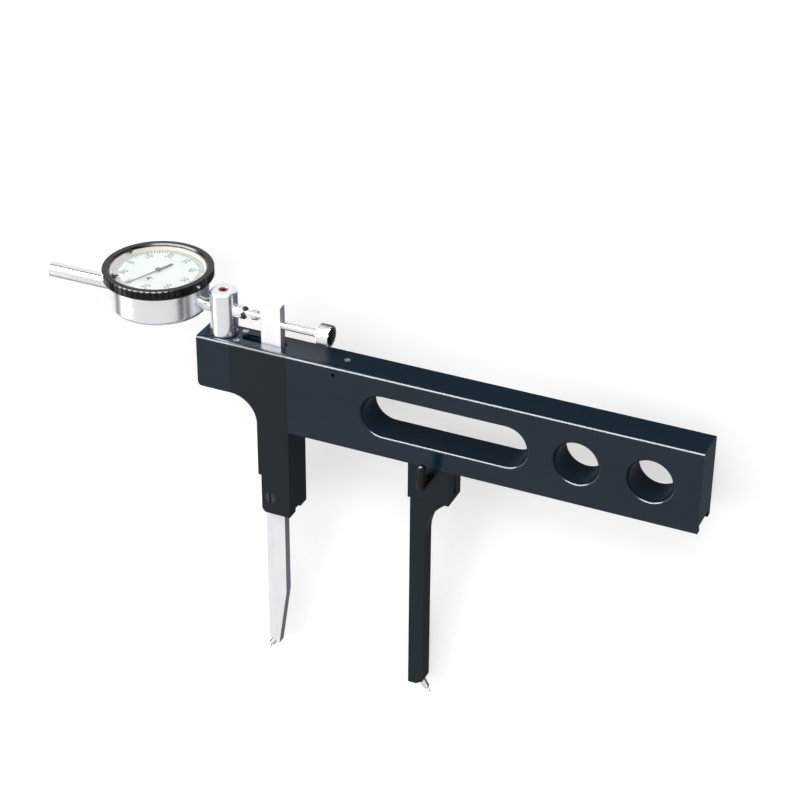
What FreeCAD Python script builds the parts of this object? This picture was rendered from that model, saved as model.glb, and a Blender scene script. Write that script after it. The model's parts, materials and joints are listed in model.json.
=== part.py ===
"""Dial bore gauge: a lever comparator for inside diameters and grooves.

Working frame of the source: X runs along the beam, Y points away from the front face, Z is up in use.
x = 0 is the right edge of the front plate, y = 0 the middle plane and z = 0 the underside of the beam.
The finished pieces are then laid down as the gauge rests: on its back, on the bezel's rim, the foot of
the leg and the far end of the beam. All lengths are in millimetres.
"""

import FreeCAD, Part
import math
import os

from FreeCAD import Base

# ---- fits and clearances -------------------------------------------------------------------------
seat_gap = 0.05          # between a pressed or screwed piece and its seat
running_gap = 0.03       # radial play of a pin or spindle that turns or slides
slide_gap = 0.05         # between the slider and the beam's dovetail
free_gap = 0.3           # between faces that pass each other

# ---- beam ----------------------------------------------------------------------------------------
beam_depth = 20.0
beam_height = 45.5
beam_end_x = 220.5
block_left_x = -52.0
block_height = 29.3
edge_radius = 2.0
block_corner_radius = 2.5
window_radius = 11.4
window_edge = 1.8
window_middle_z = 22.9
slot_start_x = 39.8
slot_end_x = 132.8
hole_1_x = 156.8
hole_2_x = 194.7
pin_hole_radius = 1.0
pin_hole_depth = 6.0
pin_hole_x = 26.1
pin_hole_z = 41.0
groove_mouth = 13.0
groove_ceiling = 16.0
groove_depth = 3.6

# ---- front plate and leg -------------------------------------------------------------------------
plate_left_x = -33.0
plate_leg_x = -18.0
plate_arc_radius = 15.0
plate_bottom_z = -30.0
leg_left_x = -16.3
leg_bottom_z = -53.0
leg_corner_radius = 3.0
leg_notch_rise = 2.0
lap_height = 14.0
lap_thickness = 5.0
back_screw_radius = 1.25
back_screw_head_radius = 2.2
back_screw_margin = 1.4
plate_screw_low = 22.0
plate_screw_high = 6.0

# ---- lever ---------------------------------------------------------------------------------------
lever_thickness = 5.2
lever_left_x = -17.9
lever_width = 11.1
lever_top_z = 68.1
lever_tip_width = 5.9
lever_taper_z = -108.0
pivot_x = -11.3
pivot_z = -43.2
pivot_radius = 2.0
pivot_head_radius = 3.0
pivot_head_height = 2.0
pivot_end_margin = 2.0
channel_left_x = -30.0
channel_clearance = 2.2

# ---- cover plate ---------------------------------------------------------------------------------
cover_width = 15.0
cover_thickness = 2.0
cover_left_x = -36.5
cover_right_x = 33.2
cover_slot_width = 6.4
cover_screw_radius = 1.0
cover_screw_head_radius = 1.65
cover_screw_length = 6.0
cover_screw_left_x = -31.0
cover_screw_right_x = 29.6
cover_screw_spread = 5.3

# ---- indicator post ------------------------------------------------------------------------------
post_x = -40.4
post_radius = 7.25
post_top_z = 70.2
post_flat = 6.0
post_chamfer = 0.5
post_spigot_radius = 4.0
post_spigot_depth = 5.0
post_screw_radius = 2.0
post_screw_head_radius = 3.5
post_screw_head_height = 4.0
post_screw_sink = 1.0
post_screw_grip = 9.0
set_screw_radius = 2.5
set_screw_sink = 0.2
socket_depth = 2.0

# ---- indicator -----------------------------------------------------------------------------------
stem_z = 59.4
stem_radius = 3.35
stem_end_x = -27.6
stem_ring_length = 1.4
stem_chamfer = 0.3
dial_x = -78.2
case_radius = 26.0
case_bottom_z = 53.3
case_wall = 2.0
case_edge_radius = 3.0
case_deck = 1.6
case_back_radius = 21.5
case_back_thickness = 1.6
case_screw_radius = 0.8
case_screw_head_radius = 1.5
case_screw_circle = 19.0
case_screw_length = 3.0
case_screw_boss_radius = 2.2
neck_radius = 24.9
neck_top_z = 70.9
bezel_radius = 29.0
bezel_bottom_z = 70.3
bezel_top_z = 75.4
bezel_lip_radius = 25.8
bezel_chamfer = 0.4
rib_count = 58
rib_groove_share = 0.32
rib_groove_depth = 0.55
crystal_radius = 26.6
crystal_thickness = 1.2
crystal_z = 73.4
face_thickness = 0.4
face_split_radius = 13.6
pointer_thickness = 0.3
pointer_length = 20.5
pointer_tail = 9.5
pointer_hub_radius = 1.5
pointer_hub_height = 0.9
pointer_tip_width = 0.5
pointer_tail_width = 2.2
pointer_angle_deg = -112.0
arbor_radius = 0.5
counter_x = -0.4
counter_y = -9.6
counter_hand_length = 2.0
counter_hub_radius = 0.8
counter_angle_deg = 60.0
marker_width_deg = 5.0
marker_reach = 3.4
marker_height = 0.6
marker_low_deg = -130.0
marker_high_deg = 158.0
cap_tube_radius = 4.25
cap_tube_end_x = -143.2
cap_tube_wall = 1.4
tube_seat = 1.6
plunger_radius = 1.8
plunger_end_x = -124.0
tip_start_x = -24.3
tip_cap_radius = 2.45
tip_cap_length = 4.0
tip_ball_radius = 1.6
tip_spigot_radius = 1.1
tip_spigot_length = 3.0

# ---- push rod and knob ---------------------------------------------------------------------------
rod_z = 57.0
rod_radius = 2.0
rod_seat = 3.0
knob_start_x = 14.2
knob_bore = 4.0
knob_radius = 5.75
knob_length = 6.6
knob_chamfer = 0.5
knob_inlay_radius = 4.5
knob_inlay_depth = 1.0
knob_dome_height = 0.9

# ---- slider and arm ------------------------------------------------------------------------------
slider_left_x = 66.9
slider_width = 22.8
slider_depth = 15.5
slider_height = 22.0
slider_slit = 0.9
slider_relief_radius = 1.5
slider_relief_z = -17.4
arm_thickness = 9.0
arm_width = 8.4
arm_flare_radius = 28.0
arm_chamfer_width = 3.9
clamp_offset_x = 12.4
clamp_z = -5.9
clamp_rod_radius = 2.2
clamp_reach = 13.3
clamp_handle = 12.4
clamp_bend_radius = 3.0
clamp_thread_radius = 1.6
clamp_thread_end_y = 5.0
clamp_lean_deg = 4.0

# ---- contacts ------------------------------------------------------------------------------------
contact_angle_deg = 60.0
contact_reach = 8.0
contact_tip_z = -149.6
contact_shank_radius = 1.6
contact_collar_start = 1.7
contact_neck_radius = 0.55
contact_ball_radius = 0.85
contact_seat = 3.0

# ---- return spring -------------------------------------------------------------------------------
spring_z = 34.0
spring_radius = 2.0
spring_wire = 0.35
spring_turns = 8
spring_pocket_depth = 6.5

# ---- sizes that follow from the others -----------------------------------------------------------
half_depth = beam_depth / 2.0
shoulder_z = beam_height - block_height
channel_half = lever_thickness / 2.0 + free_gap
lever_right_x = lever_left_x + lever_width
channel_right_x = lever_right_x + channel_clearance
contact_angle = math.radians(contact_angle_deg)
face_z = neck_top_z + free_gap + face_thickness

X_AXIS = Base.Vector(1, 0, 0)
Y_AXIS = Base.Vector(0, 1, 0)
Z_AXIS = Base.Vector(0, 0, 1)


# ---- shape helpers -------------------------------------------------------------------------------
def at(x, y, z):
    return Base.Vector(x, y, z)


def block(x_range, y_range, z_range):
    """A box between two values on each axis."""
    size = [high - low for low, high in (x_range, y_range, z_range)]
    return Part.makeBox(*size, at(x_range[0], y_range[0], z_range[0]))


def rod(radius, start, end):
    """A round bar between two points."""
    along = end - start
    return Part.makeCylinder(radius, along.Length, start, along)


def line(start, end):
    return Part.makeLine(start, end)


def arc(start, middle, end):
    return Part.Arc(start, middle, end).toShape()


def swept(edges, sweep):
    """A solid swept straight along a vector from a closed outline."""
    return Part.Face(Part.Wire(Part.__sortEdges__(edges))).extrude(sweep)


def prism(points, sweep):
    """A solid swept straight along a vector from straight-sided corners."""
    return Part.Face(Part.makePolygon(points + points[:1])).extrude(sweep)


def turned(profile, centre, axis):
    """A turned solid from (along, radius) corners, about an axis through a centre."""
    side = X_AXIS if abs(axis.x) < 0.5 else Z_AXIS
    side = (side - axis * side.dot(axis)).normalize()
    points = [centre + axis * along + side * radius for along, radius in profile]
    return Part.Face(Part.makePolygon(points + points[:1])).revolve(centre, axis, 360)


def unite(first, *others):
    return first.fuse(list(others)).removeSplitter()


def middle_of(edge):
    return edge.valueAt((edge.FirstParameter + edge.LastParameter) / 2.0)


def near(value, target):
    return abs(value - target) < 0.01


def filleted(shape, radius, test):
    """Rounds the edges whose middle point passes a test."""
    return shape.makeFillet(radius, [e for e in shape.Edges if test(middle_of(e))])


def polar(radius, angle_deg, z):
    """A point about the dial's axis, the angle counted from the stem's side."""
    angle = math.radians(angle_deg)
    return at(dial_x + radius * math.cos(angle), radius * math.sin(angle), z)


# ---- screws --------------------------------------------------------------------------------------
def countersunk(radius, head_radius, length, head, direction):
    """A countersunk screw with its flat head at a point, driven along a direction."""
    cone = head_radius - radius
    profile = [(0, 0), (0, head_radius), (cone, radius), (length, radius), (length, 0)]
    return turned(profile, head, direction)


def countersunk_hole(radius, head_radius, length, head, direction):
    """The seat of such a screw, larger by the seat gap and open above its head."""
    wide = head_radius + seat_gap
    cone = head_radius - radius
    narrow = radius + seat_gap
    deep = length + seat_gap
    profile = [(-1, 0), (-1, wide), (0, wide), (cone, narrow), (deep, narrow), (deep, 0)]
    return turned(profile, head, direction)


def slot_cut(head, direction, across, length, width, depth):
    """A straight driver's slot in a screw's head."""
    side = direction.cross(across)
    corner = head - across * (length / 2.0) - side * (width / 2.0) - direction
    points = [corner, corner + across * length, corner + across * length + side * width, corner + side * width]
    return prism(points, direction * (depth + 1.0))


def hexagon_cut(size, head, direction, depth):
    """A hexagon socket, its size measured to the corners."""
    side = X_AXIS if abs(direction.x) < 0.5 else Z_AXIS
    other = direction.cross(side)
    start = head - direction
    points = []
    for corner in range(6):
        angle = corner * math.pi / 3.0
        points.append(start + side * (size * math.cos(angle)) + other * (size * math.sin(angle)))
    return prism(points, direction * (depth + 1.0))


# ---- beam and what closes it ---------------------------------------------------------------------
def shoulder(leg_x, y):
    """The round shoulder under the end block: start, middle and end of its arc."""
    centre = at(leg_x - plate_arc_radius, y, shoulder_z - plate_arc_radius)
    diagonal = plate_arc_radius / math.sqrt(2.0)
    return [centre + at(0, 0, plate_arc_radius), centre + at(diagonal, 0, diagonal), centre + at(plate_arc_radius, 0, 0)]


def stepped_outline(left_x, right_x, bottom_z, y, sweep):
    """The outline that the beam and the front plate share, from the end block to the leg."""
    start, middle, end = shoulder(plate_leg_x, y)
    corners = [end, at(plate_leg_x, y, bottom_z), at(right_x, y, bottom_z), at(right_x, y, beam_height),
               at(left_x, y, beam_height), at(left_x, y, shoulder_z), start]
    edges = [line(a, b) for a, b in zip(corners, corners[1:]) if (b - a).Length > 0.001]
    edges.append(arc(start, middle, end))
    return swept(edges, sweep)


def window(first_x, last_x):
    """A round-ended window through the beam, between the middles of its two ends."""
    low, high = window_middle_z - window_radius, window_middle_z + window_radius
    ends = [rod(window_radius, at(x, -half_depth - 1, window_middle_z), at(x, half_depth + 1, window_middle_z))
            for x in (first_x, last_x)]
    if last_x - first_x < 0.01:
        return ends[0]
    return unite(ends[0], ends[1], block((first_x, last_x), (-half_depth - 1, half_depth + 1), (low, high)))


def windows():
    inset = window_edge + window_radius
    return [window(slot_start_x + inset, slot_end_x - inset), window(hole_1_x, hole_1_x),
            window(hole_2_x, hole_2_x)]


def dovetail(mouth, ceiling, depth, left_x, right_x, below):
    """A dovetail along the beam's underside, reaching below it by a given length."""
    points = [at(left_x, -mouth / 2, -below), at(left_x, -mouth / 2, 0), at(left_x, -ceiling / 2, depth),
              at(left_x, ceiling / 2, depth), at(left_x, mouth / 2, 0), at(left_x, mouth / 2, -below)]
    return prism(points, at(right_x - left_x, 0, 0))


def channel(low_z, high_z):
    """The room in which the lever swings."""
    return block((channel_left_x, channel_right_x), (-channel_half, channel_half), (low_z, high_z))


def cover_outline(width, right_x, low_z, high_z):
    """The cover's outline: it meets the post on the left and has a round nose on the right."""
    half = width / 2.0
    points = [at(cover_left_x, -half, low_z), at(right_x - half, -half, low_z),
              at(right_x - half, half, low_z), at(cover_left_x, half, low_z)]
    nose = arc(points[1], at(right_x, 0, low_z), points[2])
    edges = [line(points[0], points[1]), nose, line(points[2], points[3]), line(points[3], points[0])]
    plate = swept(edges, at(0, 0, high_z - low_z))
    return plate.cut(rod(post_radius, at(post_x, 0, low_z - 1), at(post_x, 0, high_z + 1)))


def cover_screw_spots():
    return [at(cover_screw_left_x, -cover_screw_spread, beam_height),
            at(cover_screw_left_x, cover_screw_spread, beam_height), at(cover_screw_right_x, 0, beam_height)]


def cover_screw_holes():
    return [countersunk_hole(cover_screw_radius, cover_screw_head_radius, cover_screw_length, spot, -Z_AXIS)
            for spot in cover_screw_spots()]


def lap_screw_spots():
    """Two short screws from behind hold the leg's lap in the beam."""
    inset = back_screw_head_radius + back_screw_margin
    middle_z = lap_height / 2.0
    length = half_depth - channel_half - back_screw_margin
    return [(at(leg_left_x + inset, half_depth, middle_z), length), (at(-inset, half_depth, middle_z), length)]


def plate_screw_spots():
    """Two long screws from behind, one on each side of the lever's channel, hold the front plate."""
    length = half_depth + channel_half + (half_depth - channel_half) / 2.0
    left_x = (plate_left_x + channel_left_x) / 2.0
    right_x = channel_right_x / 2.0
    return [(at(left_x, half_depth, beam_height - plate_screw_low), length),
            (at(right_x, half_depth, beam_height - plate_screw_low + plate_screw_high), length)]


def back_screw_holes(spots):
    return [countersunk_hole(back_screw_radius, back_screw_head_radius, length, spot, -Y_AXIS)
            for spot, length in spots]


def lap():
    return block((leg_left_x, 0), (half_depth - lap_thickness, half_depth), (0, lap_height))


def post_screw_profile(gap):
    """The screw that holds the post from below, or with a gap its stepped hole."""
    length = block_height + post_screw_grip - post_screw_sink - post_screw_head_height
    head, shank = post_screw_head_radius + gap, post_screw_radius + gap
    end = post_screw_head_height + length + gap
    return [(0, 0), (0, head), (post_screw_head_height, head), (post_screw_head_height, shank), (end, shank), (end, 0)]


def post_screw_base():
    return at(post_x, 0, shoulder_z + post_screw_sink)


def post_screw_hole():
    sunk = rod(post_screw_head_radius + seat_gap, at(post_x, 0, shoulder_z - 1), post_screw_base())
    return unite(turned(post_screw_profile(seat_gap), post_screw_base(), Z_AXIS), sunk)


def spring_pocket():
    return rod(spring_radius + spring_wire + free_gap, at(channel_left_x - spring_pocket_depth, 0, spring_z),
               at(channel_left_x + 1, 0, spring_z))


def make_beam():
    beam = stepped_outline(block_left_x, beam_end_x, 0, -half_depth, at(0, beam_depth, 0))
    beam = filleted(beam, edge_radius, lambda p: near(p.z, beam_height) and near(abs(p.y), half_depth))
    beam = filleted(beam, block_corner_radius, lambda p: near(p.x, block_left_x) and near(p.z, shoulder_z))
    beam = beam.cut(windows())
    low, high = window_middle_z - window_radius - 0.1, window_middle_z + window_radius + 0.1
    beam = filleted(beam, window_edge, lambda p: near(abs(p.y), half_depth) and low < p.z < high
                    and slot_start_x < p.x < beam_end_x - 1)
    cuts = [dovetail(groove_mouth, groove_ceiling, groove_depth, 0, beam_end_x + 1, 1),
            block((plate_left_x, 0), (-half_depth - 1, -channel_half), (-1, beam_height + 1)),
            channel(-1, beam_height + 1),
            cover_outline(cover_width, cover_right_x, beam_height - cover_thickness, beam_height + 1),
            rod(pin_hole_radius, at(pin_hole_x, -half_depth - 1, pin_hole_z),
                at(pin_hole_x, -half_depth + pin_hole_depth, pin_hole_z)),
            rod(post_spigot_radius + seat_gap, at(post_x, 0, beam_height + 1),
                at(post_x, 0, beam_height - post_spigot_depth - seat_gap)),
            block((leg_left_x, 0), (half_depth - lap_thickness, half_depth + 1), (-1, lap_height)),
            spring_pocket(), post_screw_hole()]
    cuts += cover_screw_holes() + back_screw_holes(lap_screw_spots() + plate_screw_spots())
    return beam.cut(cuts)


def make_front_plate():
    thickness = half_depth - channel_half
    plate = stepped_outline(plate_left_x, 0, plate_bottom_z, -half_depth, at(0, thickness, 0))
    plate = filleted(plate, edge_radius, lambda p: near(p.z, beam_height) and near(p.y, -half_depth))
    cuts = [cover_outline(cover_width, cover_right_x, beam_height - cover_thickness, beam_height + 1)]
    return plate.cut(cuts + cover_screw_holes() + back_screw_holes(plate_screw_spots()))


def make_leg():
    leg = block((leg_left_x, 0), (-half_depth, half_depth), (leg_bottom_z, 0))
    leg = filleted(leg, leg_corner_radius, lambda p: near(p.x, leg_left_x) and near(p.z, leg_bottom_z))
    open_x = leg_left_x - 1
    notch_z = leg_bottom_z + leg_notch_rise
    low, high = at(pivot_x, -half_depth - 1, pivot_z), at(pivot_x, half_depth - pivot_end_margin, pivot_z)
    head_seat = at(pivot_x, -half_depth + pivot_head_height, pivot_z)
    cuts = [block((open_x, channel_right_x), (-channel_half, channel_half), (leg_bottom_z - 1, 1)),
            block((open_x, 1), (-channel_half, channel_half), (leg_bottom_z - 1, notch_z)),
            block((open_x, 1), (-half_depth - 1, -channel_half), (plate_bottom_z, 1)),
            rod(pivot_radius + seat_gap, low, high), rod(pivot_head_radius + seat_gap, low, head_seat)]
    return unite(leg, lap()).cut(cuts + back_screw_holes(lap_screw_spots()))


def make_back_screws():
    screws = []
    for spot, length in lap_screw_spots() + plate_screw_spots():
        screw = countersunk(back_screw_radius, back_screw_head_radius, length, spot, -Y_AXIS)
        screws.append(screw.cut(slot_cut(spot, -Y_AXIS, X_AXIS, 3 * back_screw_head_radius, 0.6, 0.6)))
    return Part.makeCompound(screws)


def make_cover_plate():
    plate = cover_outline(cover_width - 2 * seat_gap, cover_right_x - seat_gap,
                          beam_height - cover_thickness, beam_height)
    half = cover_slot_width / 2.0
    first, last = channel_left_x + half, channel_right_x - half
    ends = [rod(half, at(x, 0, beam_height - cover_thickness - 1), at(x, 0, beam_height + 1)) for x in (first, last)]
    slot = unite(ends[0], ends[1], block((first, last), (-half, half), (beam_height - cover_thickness - 1,
                                                                        beam_height + 1)))
    return plate.cut([slot] + cover_screw_holes())


def make_cover_screws():
    screws = []
    for spot in cover_screw_spots():
        screw = countersunk(cover_screw_radius, cover_screw_head_radius, cover_screw_length, spot, -Z_AXIS)
        screws.append(screw.cut(slot_cut(spot, -Z_AXIS, Y_AXIS, 3 * cover_screw_head_radius, 0.5, 0.5)))
    return Part.makeCompound(screws)


# ---- lever and what it carries -------------------------------------------------------------------
def contact_axis(side):
    """The contact's pointing direction: side is -1 on the lever and +1 on the arm."""
    return at(side * math.cos(contact_angle), 0, -math.sin(contact_angle))


def contact_face_rise():
    """How much the face under a contact rises for each millimetre along the beam."""
    return math.cos(contact_angle) / math.sin(contact_angle)


def contact_face_z():
    return contact_tip_z + contact_reach * math.sin(contact_angle)


def lever_face():
    """The middle of the slanted face that carries the lever's contact."""
    return at(lever_left_x + lever_tip_width / 2.0, 0, contact_face_z())


def arm_face():
    """The middle of the chamfer that carries the arm's contact."""
    return at(slider_left_x + arm_width - arm_chamfer_width / 2.0, 0, contact_face_z())


def make_lever():
    face = lever_face()
    half_rise = contact_face_rise() * lever_tip_width / 2.0
    y = -lever_thickness / 2.0
    points = [at(lever_left_x, y, lever_top_z), at(lever_right_x, y, lever_top_z),
              at(lever_right_x, y, lever_taper_z), at(lever_left_x + lever_tip_width, y, face.z - half_rise),
              at(lever_left_x, y, face.z + half_rise)]
    bar = prism(points, at(0, lever_thickness, 0))
    cuts = [rod(pivot_radius + running_gap, at(pivot_x, y - 1, pivot_z), at(pivot_x, -y + 1, pivot_z)),
            rod(rod_radius + seat_gap, at(lever_right_x - rod_seat, 0, rod_z), at(lever_right_x + 1, 0, rod_z)),
            rod(contact_shank_radius + seat_gap, face + contact_axis(-1), face - contact_axis(-1) * contact_seat)]
    return bar.cut(cuts)


def make_pivot_screw():
    head = at(pivot_x, -half_depth, pivot_z)
    length = beam_depth - pivot_end_margin - seat_gap
    profile = [(0, 0), (0, pivot_head_radius), (pivot_head_height, pivot_head_radius),
               (pivot_head_height, pivot_radius), (length, pivot_radius), (length, 0)]
    screw = turned(profile, head, Y_AXIS)
    return screw.cut(slot_cut(head, Y_AXIS, Z_AXIS, 3 * pivot_head_radius, 1.0, 1.0))


def make_contact(face, side):
    """A shank with a short neck and a small ball, standing square on its face."""
    axis = contact_axis(side)
    tip = face + axis * contact_reach
    neck = contact_neck_radius
    shank = contact_shank_radius
    collar = contact_collar_start
    profile = [(0, 0), (0, neck), (collar, neck), (collar + 0.8, shank),
               (contact_reach + contact_seat - seat_gap, shank), (contact_reach + contact_seat - seat_gap, 0)]
    return unite(turned(profile, tip, -axis), Part.makeSphere(contact_ball_radius, tip + axis * 0.0))


def make_push_rod():
    start = at(lever_right_x - rod_seat + seat_gap, 0, rod_z)
    return rod(rod_radius, start, at(knob_start_x + knob_bore - seat_gap, 0, rod_z))


def make_knob():
    start = at(knob_start_x, 0, rod_z)
    profile = [(0, 0), (0, knob_radius - knob_chamfer), (knob_chamfer, knob_radius),
               (knob_length - knob_chamfer, knob_radius), (knob_length, knob_radius - knob_chamfer), (knob_length, 0)]
    knob = turned(profile, start, X_AXIS)
    bore = rod(rod_radius + seat_gap, start - X_AXIS, start + X_AXIS * knob_bore)
    inlay_seat = rod(knob_inlay_radius + seat_gap, start + X_AXIS * (knob_length - knob_inlay_depth),
                     start + X_AXIS * (knob_length + 1))
    return knob.cut([bore, inlay_seat])


def make_knob_inlay():
    """A slightly domed disc let into the knob's end."""
    base = at(knob_start_x + knob_length - knob_inlay_depth, 0, rod_z)
    radius, rise = knob_inlay_radius, knob_dome_height
    sphere_radius = (radius ** 2 + rise ** 2) / (2.0 * rise)
    body = rod(radius, base, base + X_AXIS * (knob_inlay_depth + rise))
    dome = Part.makeSphere(sphere_radius, base + X_AXIS * (knob_inlay_depth + rise - sphere_radius))
    return body.common(dome)


def make_lever_spring():
    """A light compression spring between its pocket in the beam and the lever."""
    start_x = channel_left_x - spring_pocket_depth + spring_wire
    length = lever_left_x - spring_wire - start_x
    helix = Part.makeHelix(length / spring_turns, length, spring_radius)
    wire = Part.Wire(helix.Edges)
    section = Part.Wire(Part.makeCircle(spring_wire, at(spring_radius, 0, 0), Y_AXIS))
    spring = wire.makePipeShell([section], True, True)
    spring.rotate(at(0, 0, 0), Y_AXIS, 90)
    spring.translate(at(start_x, 0, spring_z))
    return spring


# ---- indicator post ------------------------------------------------------------------------------
def make_indicator_post():
    height = post_top_z - beam_height
    profile = [(-post_spigot_depth, 0), (-post_spigot_depth, post_spigot_radius), (0, post_spigot_radius),
               (0, post_radius - post_chamfer), (post_chamfer, post_radius), (height - post_chamfer, post_radius),
               (height, post_radius - post_chamfer), (height, 0)]
    post = turned(profile, at(post_x, 0, beam_height), Z_AXIS)
    flat = block((post_x - 2 * post_radius, post_x - post_flat), (-post_radius, post_radius),
                 (beam_height, post_top_z + 1))
    stem_bore = rod(stem_radius + seat_gap, at(post_x - 2 * post_radius, 0, stem_z),
                    at(post_x + 2 * post_radius, 0, stem_z))
    thread = rod(set_screw_radius + seat_gap, at(post_x, 0, stem_z), at(post_x, 0, post_top_z + 1))
    return post.cut([flat, stem_bore, thread, post_screw_hole()])


def make_post_screw():
    screw = turned(post_screw_profile(0.0), post_screw_base(), Z_AXIS)
    return screw.cut(hexagon_cut(post_screw_radius * 0.85, post_screw_base(), Z_AXIS, socket_depth))


def make_set_screw():
    top = at(post_x, 0, post_top_z - set_screw_sink)
    length = top.z - stem_z - stem_radius
    profile = [(0, 0), (0, set_screw_radius), (length - 1.0, set_screw_radius),
               (length - seat_gap, set_screw_radius - 1.0), (length - seat_gap, 0)]
    screw = turned(profile, top, -Z_AXIS)
    return screw.cut(hexagon_cut(set_screw_radius * 0.58, top, -Z_AXIS, socket_depth))


# ---- indicator: case and fixed pieces ------------------------------------------------------------
def dial_turned(profile):
    """A turned piece about the dial's axis from (z, radius) corners."""
    return turned(profile, at(dial_x, 0, 0), Z_AXIS)


def case_top_z():
    return bezel_bottom_z - free_gap


def case_screw_spots():
    return [polar(case_screw_circle, 45 + 90 * quarter, case_bottom_z) for quarter in range(4)]


def make_case():
    """A cup open below, with a deck under the dial and a neck that carries the bezel."""
    top, bottom = case_top_z(), case_bottom_z
    inner = case_radius - case_wall
    outer = dial_turned([(bottom, 0), (bottom, case_radius), (top, case_radius), (top, neck_radius),
                         (neck_top_z, neck_radius), (neck_top_z, 0)])
    outer = filleted(outer, case_edge_radius, lambda p: near(p.z, bottom))
    hollow = dial_turned([(bottom + case_back_thickness, 0), (bottom + case_back_thickness, inner),
                          (neck_top_z - case_deck, inner), (neck_top_z - case_deck, 0)])
    bosses = [rod(case_screw_boss_radius, spot + Z_AXIS * case_back_thickness,
                  spot + Z_AXIS * (case_back_thickness + case_screw_length)) for spot in case_screw_spots()]
    mouth = dial_turned([(bottom - 1, 0), (bottom - 1, case_back_radius + seat_gap),
                         (bottom + case_back_thickness, case_back_radius + seat_gap),
                         (bottom + case_back_thickness, 0)])
    case = outer.cut([hollow, mouth])
    arms = [block_to_wall(spot) for spot in case_screw_spots()]
    case = unite(case, *(bosses + arms))
    hole_x = dial_x - 2 * case_radius
    cuts = [rod(stem_radius + seat_gap, at(dial_x, 0, stem_z), at(dial_x + 2 * case_radius, 0, stem_z)),
            rod(cap_tube_radius - cap_tube_wall / 2.0 + seat_gap, at(hole_x, 0, stem_z), at(dial_x, 0, stem_z)),
            rod(arbor_radius + running_gap, at(dial_x, 0, neck_top_z - case_deck - 1), at(dial_x, 0, neck_top_z + 1)),
            rod(arbor_radius + running_gap, counter_centre(neck_top_z - case_deck - 1), counter_centre(neck_top_z + 1))]
    cuts += [countersunk_hole(case_screw_radius, case_screw_head_radius, case_screw_length, spot, Z_AXIS)
             for spot in case_screw_spots()]
    return case.cut(cuts)


def block_to_wall(spot):
    """A web between a screw boss and the case's wall."""
    outward = (spot - at(dial_x, 0, spot.z)).normalize()
    side = Z_AXIS.cross(outward) * case_screw_boss_radius
    base = spot + Z_AXIS * case_back_thickness
    far = base + outward * (case_radius - case_wall / 2.0 - case_screw_circle)
    return prism([base - side, far - side, far + side, base + side], at(0, 0, case_screw_length))


def make_case_back():
    plate = dial_turned([(case_bottom_z, 0), (case_bottom_z, case_back_radius),
                         (case_bottom_z + case_back_thickness, case_back_radius),
                         (case_bottom_z + case_back_thickness, 0)])
    return plate.cut([countersunk_hole(case_screw_radius, case_screw_head_radius, case_screw_length, spot, Z_AXIS)
                      for spot in case_screw_spots()])


def make_case_screws():
    screws = []
    for spot in case_screw_spots():
        screw = countersunk(case_screw_radius, case_screw_head_radius, case_screw_length, spot, Z_AXIS)
        screws.append(screw.cut(slot_cut(spot, Z_AXIS, X_AXIS, 3 * case_screw_head_radius, 0.4, 0.4)))
    return Part.makeCompound(screws)


def make_stem():
    """The clamping stem: a tube from the case through the post, bored for the plunger."""
    start = at(dial_x + case_radius - case_wall - tube_seat, 0, stem_z)
    length = stem_end_x - stem_ring_length - start.x
    profile = [(0, plunger_radius + running_gap), (0, stem_radius), (length, stem_radius),
               (length, plunger_radius + running_gap)]
    return turned(profile, start, X_AXIS)


def make_stem_ring():
    """The dark wiper ring on the stem's end."""
    start = at(stem_end_x - stem_ring_length, 0, stem_z)
    profile = [(0, plunger_radius + running_gap), (0, stem_radius), (stem_ring_length - stem_chamfer, stem_radius),
               (stem_ring_length, stem_radius - stem_chamfer), (stem_ring_length, plunger_radius + running_gap)]
    return turned(profile, start, X_AXIS)


def make_cap_tube():
    """The closed tube over the plunger's far end, screwed into the case."""
    mouth_x = dial_x - case_radius + case_wall + tube_seat
    shoulder_x = dial_x - case_radius
    length = mouth_x - cap_tube_end_x
    neck = cap_tube_radius - cap_tube_wall / 2.0
    bore = plunger_radius + free_gap
    profile = [(0, bore), (0, neck), (mouth_x - shoulder_x, neck), (mouth_x - shoulder_x, cap_tube_radius),
               (length - stem_chamfer, cap_tube_radius), (length, cap_tube_radius - stem_chamfer), (length, 0),
               (length - cap_tube_wall, 0), (length - cap_tube_wall, bore)]
    return turned(profile, at(mouth_x, 0, stem_z), -X_AXIS)


# ---- indicator: bezel, dial and hands ------------------------------------------------------------
def ribbed_outline(z, height):
    """The bezel's rim: wide ribs with narrow round grooves between them."""
    pitch = 2 * math.pi / rib_count
    groove = pitch * rib_groove_share
    edges = []
    for rib in range(rib_count):
        start = math.pi / 2.0 + rib * pitch - (pitch - groove) / 2.0
        stations = [(0, bezel_radius), ((pitch - groove) / 2.0, bezel_radius), (pitch - groove, bezel_radius),
                    (pitch - groove / 2.0, bezel_radius - rib_groove_depth), (pitch, bezel_radius)]
        points = [at(dial_x + r * math.cos(start + turn), r * math.sin(start + turn), z) for turn, r in stations]
        edges += [arc(points[0], points[1], points[2]), arc(points[2], points[3], points[4])]
    return swept(edges, at(0, 0, height))


def make_bezel():
    bottom, top = bezel_bottom_z, bezel_top_z
    bore = neck_radius + running_gap
    ribs = ribbed_outline(bottom, top - bottom)
    envelope = dial_turned([(bottom, 0), (bottom, bezel_radius - bezel_chamfer),
                            (bottom + bezel_chamfer, bezel_radius), (top - bezel_chamfer, bezel_radius),
                            (top, bezel_radius - bezel_chamfer), (top, 0)])
    inside = dial_turned([(bottom - 1, 0), (bottom - 1, bore), (crystal_z, bore), (crystal_z, crystal_radius + seat_gap),
                          (crystal_z + crystal_thickness, crystal_radius + seat_gap),
                          (crystal_z + crystal_thickness, bezel_lip_radius - 0.6),
                          (top, bezel_lip_radius), (top + 1, bezel_lip_radius), (top + 1, 0)])
    return ribs.common(envelope).cut(inside)


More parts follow.
